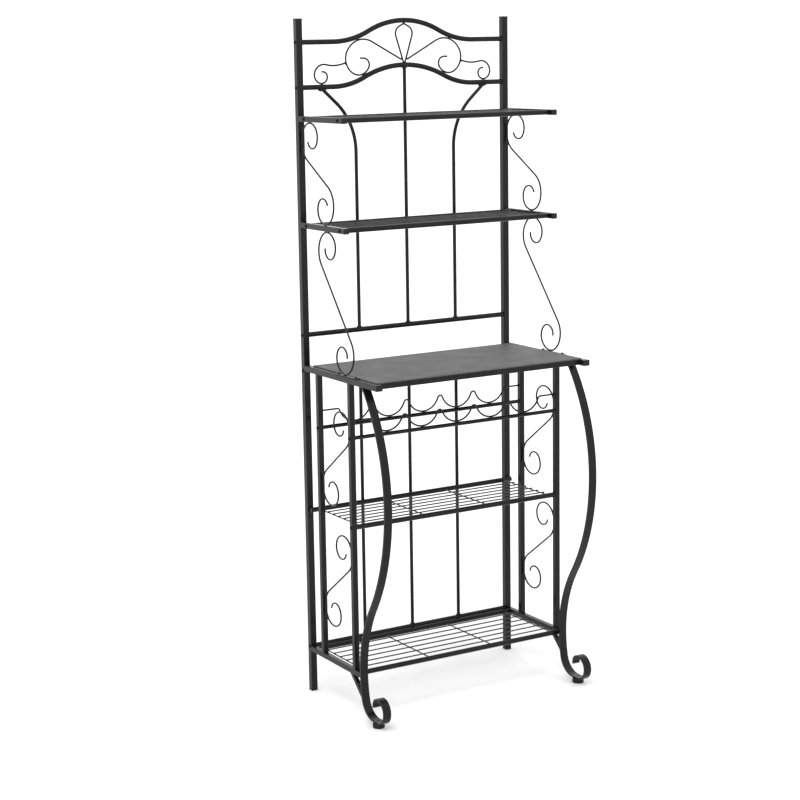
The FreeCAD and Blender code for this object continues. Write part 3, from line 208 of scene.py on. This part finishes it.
def coated(name, low, high, edge_wear_and_sheen, rough, gloss, mottle_scale, skin_scale, skin_depth):
    """A sprayed or moulded surface: mottled grey, lighter edges that are partly rubbed wear and partly
    painted sheen, uneven gloss and a fine bumpy skin.
    """
    material = bpy.data.materials.new(name)
    material.use_nodes = True
    tree = material.node_tree
    shader = tree.nodes["Principled BSDF"]
    shader.inputs["Specular IOR Level"].default_value = gloss
    coords = tree.nodes.new("ShaderNodeTexCoord").outputs["Object"]
    mottle = noise(tree, coords, mottle_scale, MOTTLE_DETAIL)
    wear = noise(tree, coords, mottle_scale * WEAR_SCALE_SHARE, WEAR_DETAIL)
    # The edges are lightened: partly rubbed wear, partly a painted sheen where edges catch the light.
    edge_wear_and_sheen_share = math_node(tree, "MULTIPLY", edge_mask(tree), wear)
    tone = math_node(tree, "ADD", mottle, edge_wear_and_sheen_share)
    tree.links.new(ramp(tree, tone, low, high, edge_wear_and_sheen), shader.inputs["Base Color"])
    tree.links.new(spread(tree, wear, *rough), shader.inputs["Roughness"])
    bump = tree.nodes.new("ShaderNodeBump")
    bump.inputs["Strength"].default_value = SKIN_STRENGTH
    bump.inputs["Distance"].default_value = skin_depth
    tree.links.new(noise(tree, coords, skin_scale, SKIN_DETAIL), bump.inputs["Height"])
    tree.links.new(bump.outputs["Normal"], shader.inputs["Normal"])
    return material


def paint(obj, material):
    """Gives an object one material in all its slots."""
    if not obj.material_slots:
        obj.data.materials.append(material)
    for slot in obj.material_slots:
        slot.material = material


def paint_rack(frame_coat):
    """Gives every node the frame's coat, or the one that it is listed under."""
    coats = {}
    for name, (values, nodes) in OTHER_COATS.items():
        coats.update(dict.fromkeys(nodes, coated(name, **values)))
    for name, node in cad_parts.items():
        paint(node, coats.get(name, frame_coat))


# Weld beads


def weld_spots(wire, carriers):
    """The middles of the places where a welded piece comes up against the pieces that carry it."""
    clusters = []
    for carrier in carriers:
        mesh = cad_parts[carrier].data
        surface = BVHTree.FromPolygons([v.co for v in mesh.vertices], [p.vertices for p in mesh.polygons])
        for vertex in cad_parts[wire].data.vertices:
            touch = surface.find_nearest(vertex.co, WELD_REACH)[0]
            if touch is None:
                continue
            near = next((c for c in clusters if (c[0] - touch).length < WELD_SPREAD), None)
            if near is None:
                clusters.append([touch])
            else:
                near.append(touch)
    return [sum(cluster, Vector()) / len(cluster) for cluster in clusters]


def add_bead(beads, centre, radii):
    """One bead: a small ball, stretched each way, with the ripples that a welding torch leaves."""
    shape = Matrix.Translation(centre) @ Matrix.Diagonal((*radii, 1))
    ball = bmesh.ops.create_icosphere(beads, subdivisions=BEAD_SUBDIVISIONS, radius=1, matrix=shape)
    for vertex in ball["verts"]:
        out = vertex.co - centre
        ripple = math.sin(BEAD_RIPPLES * math.pi * out.x / radii[0] + math.atan2(out.y, out.z))
        vertex.co += out * (BEAD_RIPPLE_SHARE * ripple)


def build_welds(coat):
    """One piece for each group of welds, with a bead at each place where its wires are welded on."""
    for name, (stock_radius, shares, wires) in WELDS.items():
        radii = [stock_radius * share for share in shares]
        beads = bmesh.new()
        for wire, carriers in wires.items():
            for spot in weld_spots(wire, carriers):
                add_bead(beads, spot, radii)
        mesh = bpy.data.meshes.new(name)
        beads.to_mesh(mesh)
        beads.free()
        mesh.polygons.foreach_set("use_smooth", [True] * len(mesh.polygons))
        welds = bpy.data.objects.new(name, mesh)
        bpy.context.scene.collection.objects.link(welds)
        paint(welds, coat)
        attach(welds, "frame")


# Studio


def build_floor():
    """A flat pale floor out to the horizon."""
    mesh = bpy.data.meshes.new("studio_floor")
    corners = [(x * FLOOR_REACH, y * FLOOR_REACH, 0) for x, y in ((-1, -1), (1, -1), (1, 1), (-1, 1))]
    mesh.from_pydata(corners, [], [(0, 1, 2, 3)])
    floor = bpy.data.objects.new("studio_floor", mesh)
    bpy.context.scene.collection.objects.link(floor)
    paint(floor, coated("studio_paper", **STUDIO_PAPER))


def build_softbox():
    """A soft light behind the rack on the left, which brightens the left faces of the posts."""
    data = bpy.data.lights.new("left_softbox", "AREA")
    data.shape = "RECTANGLE"
    data.size = SOFTBOX_WIDTH
    data.size_y = SOFTBOX_HEIGHT
    data.energy = SOFTBOX_POWER
    light = bpy.data.objects.new("left_softbox", data)
    light.location = SOFTBOX_PLACE
    light.rotation_euler = (SOFTBOX_TARGET - SOFTBOX_PLACE).to_track_quat("-Z", "Y").to_euler()
    bpy.context.scene.collection.objects.link(light)


def build_sun():
    """A soft light from above, which casts the faint shadows on the floor."""
    data = bpy.data.lights.new("soft_sun", "SUN")
    data.energy = SUN_STRENGTH
    data.angle = SUN_SOFTNESS
    sun = bpy.data.objects.new("soft_sun", data)
    sun.rotation_euler = SUN_FROM.to_track_quat("Z", "Y").to_euler()
    bpy.context.scene.collection.objects.link(sun)


def build_sky():
    """White light from all round, shown without a film curve."""
    world = bpy.data.worlds.new("studio_air")
    world.use_nodes = True
    background = world.node_tree.nodes["Background"]
    background.inputs["Color"].default_value = WHITE
    background.inputs["Strength"].default_value = SKY_STRENGTH
    bpy.context.scene.world = world
    bpy.context.scene.view_settings.view_transform = "Standard"


def build_camera():
    """A camera that looks along +Y before it is turned, where the photograph was taken from."""
    data = bpy.data.cameras.new("photo_camera")
    data.lens = CAMERA_LENS
    data.shift_x, data.shift_y = CAMERA_SHIFT
    camera = bpy.data.objects.new("photo_camera", data)
    bpy.context.scene.collection.objects.link(camera)
    aim = Matrix.Rotation(CAMERA_YAW, 4, "Z") @ Matrix.Rotation(CAMERA_PITCH, 4, "X")
    level = Matrix.Rotation(CAMERA_ROLL, 4, "Y") @ Matrix.Rotation(QUARTER_TURN, 4, "X")
    camera.matrix_world = Matrix.Translation(CAMERA_PLACE) @ aim @ level
    bpy.context.scene.camera = camera


steel_coat = coated("frame_coat", **FRAME_COAT)
paint_rack(steel_coat)
build_welds(steel_coat)
build_floor()
build_softbox()
build_sun()
build_sky()
build_camera()
